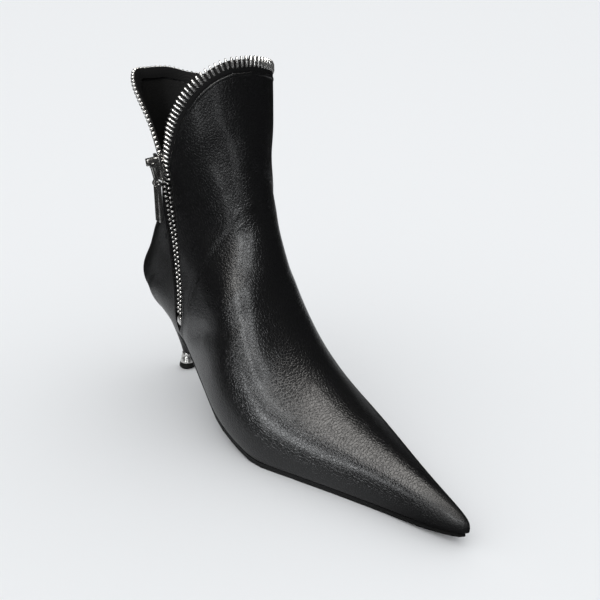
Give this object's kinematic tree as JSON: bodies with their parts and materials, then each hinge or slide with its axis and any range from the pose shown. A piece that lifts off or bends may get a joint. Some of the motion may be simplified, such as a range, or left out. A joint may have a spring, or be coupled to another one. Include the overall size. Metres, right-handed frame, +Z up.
{
  "type": "zip ankle boot",
  "caption": "Black leather ankle boot with a pointed toe, slim kitten heel and an outer-side metal zip that opens in a V and edges the whole collar.",
  "frame": {"origin": "Middle of the boot's box, on the floor plane the heel and forefoot stand on.", "axes": "+X runs from the heel to the toe, +Y to the inner side of the foot (the zip is on -Y, the outer side), +Z up."},
  "size_m": [0.2544, 0.0746, 0.1999],
  "materials": {
    "upper_leather": "smooth grained leather, semi-gloss",
    "sole_black": "satin black",
    "lining_leather": "matt",
    "zip_tape": "woven",
    "silver_metal": "polished"
  },
  "bodies": {
    "boot": {"upper": "upper_leather", "outsole": "sole_black", "insole": "lining_leather", "heel": "upper_leather", "heel_ferrule": "silver_metal", "top_lift": "sole_black", "zip_tape_front": "zip_tape", "zip_tape_rear": "zip_tape", "zip_teeth_front": "silver_metal", "zip_teeth_rear": "silver_metal", "zip_stop": "silver_metal", "zip_slider": "silver_metal"},
    "pull_link": {"pull_link": "silver_metal"},
    "pull_tab": {"pull_tab": "silver_metal"}
  },
  "joints": [
    {"name": "link_swing", "type": "hinge", "parent": "boot", "child": "pull_link", "pos_m": [-0.0734, -0.03478, 0.14433], "axis": [-0.9936, 0.1125, 0.0137], "range_deg": [0, 110]},
    {"name": "tab_swing", "type": "hinge", "parent": "pull_link", "child": "pull_tab", "pos_m": [-0.07326, -0.03214, 0.13262], "axis": [-0.9936, 0.1125, 0.0137], "range_deg": [0, 90]}
  ]
}
